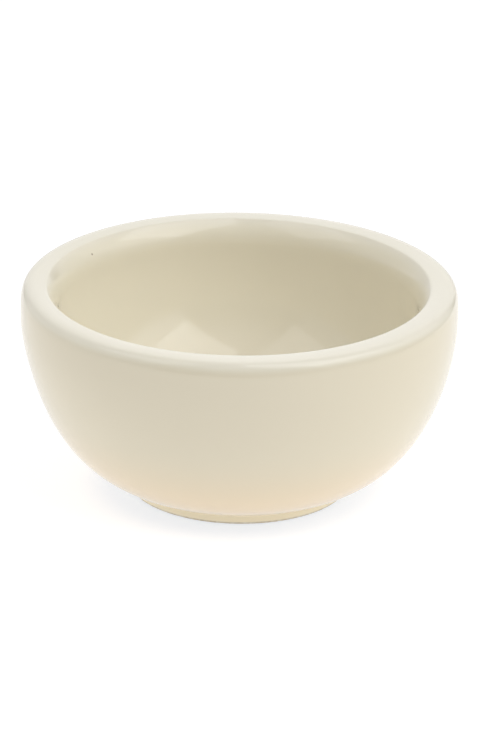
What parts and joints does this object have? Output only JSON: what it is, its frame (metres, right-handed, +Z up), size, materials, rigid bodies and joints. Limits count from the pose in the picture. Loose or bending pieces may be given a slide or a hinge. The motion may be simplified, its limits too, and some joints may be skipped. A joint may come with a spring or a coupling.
{
  "type": "nut bowl",
  "caption": "Small round glazed pottery bowl with a thick flat-topped lip and a low foot ring, for serving nuts or other snacks.",
  "frame": {"origin": "centre of the foot ring, on the surface that the bowl stands on", "axes": "+Z up along the axis that the bowl was thrown on; the bowl is round, so X and Y are any two directions across it"},
  "size_m": [0.114, 0.114, 0.0554],
  "materials": {
    "bare_clay": "fired bare clay, fine and matt, showing only on the standing face of the foot ring",
    "cream_glaze": "glossy opaque cream glaze with a faint roll in its surface",
    "underside_glaze": "glossy cream glaze, a little thinner and warmer than the main coat"
  },
  "bodies": {
    "root": {"clay_body": "bare_clay", "glaze_coat": "cream_glaze", "base_glaze": "underside_glaze"}
  },
  "joints": []
}
